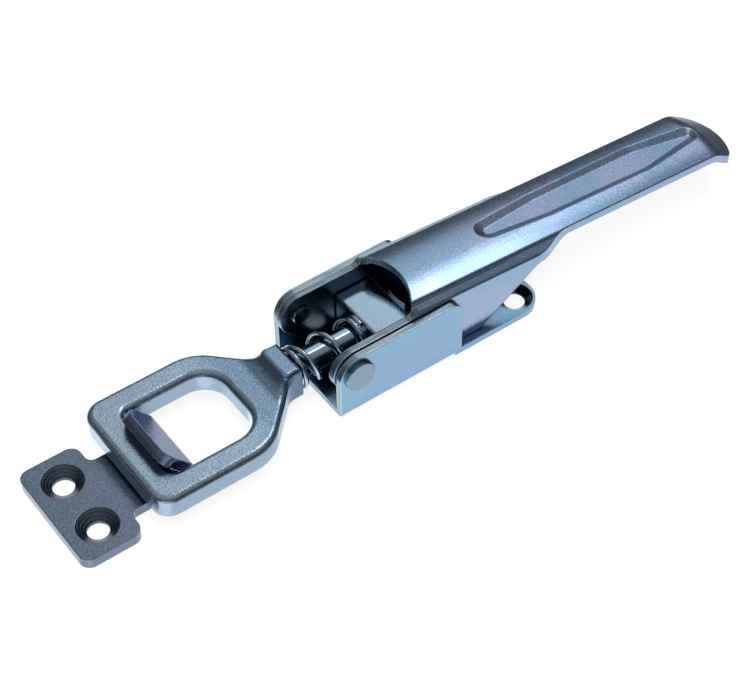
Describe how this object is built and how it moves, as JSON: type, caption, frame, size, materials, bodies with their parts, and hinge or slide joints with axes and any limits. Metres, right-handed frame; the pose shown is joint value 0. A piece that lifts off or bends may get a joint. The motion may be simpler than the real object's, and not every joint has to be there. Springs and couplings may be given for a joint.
{
  "type": "over centre toggle latch",
  "caption": "Zinc plated steel over centre toggle latch with a sprung adjustable draw loop and hooked catch plate.",
  "frame": {"origin": "on the base's mounting face, on its centre line, straight below the lever's pivot", "axes": "+Z away from the mounting face, +X towards the tip of the handle, the catch plate lies towards -X"},
  "size_m": [0.3225, 0.058, 0.0357],
  "materials": {
    "zinc_sheet": "bright zinc plate, satin",
    "zinc_forging": "zinc plate over a grainy forging",
    "zinc_turned": "bright zinc plate, semi-gloss",
    "zinc_plate": "zinc plate, satin"
  },
  "bodies": {
    "base": {"base_bracket": "zinc_sheet", "pivot_rivet_near": "zinc_turned", "pivot_rivet_far": "zinc_turned"},
    "lever": {"lever": "zinc_sheet"},
    "block": {"trunnion_block": "zinc_turned"},
    "draw_loop": {"draw_loop": "zinc_forging", "adjusting_nut": "zinc_turned", "spring": "zinc_turned", "catch_plate": "zinc_plate"}
  },
  "joints": [
    {"name": "lever_pivot", "type": "hinge", "parent": "base", "child": "lever", "pos_m": [0, 0, 0.0195], "axis": [0, -1, 0], "range_deg": [0, 90]},
    {"name": "trunnion_pivot", "type": "hinge", "parent": "lever", "child": "block", "pos_m": [0.0245, 0, 0.0127], "axis": [0, -1, 0], "range_deg": [-90, 0]},
    {"name": "rod_slide", "type": "slide", "parent": "block", "child": "draw_loop", "axis": [1, 0, 0], "range_m": [0, 0.008], "stiffness_N_per_m": 6000, "deforming": ["spring"]}
  ],
  "couplings": [
    {"joint": "trunnion_pivot", "follows": "lever_pivot", "ratio": -1}
  ]
}
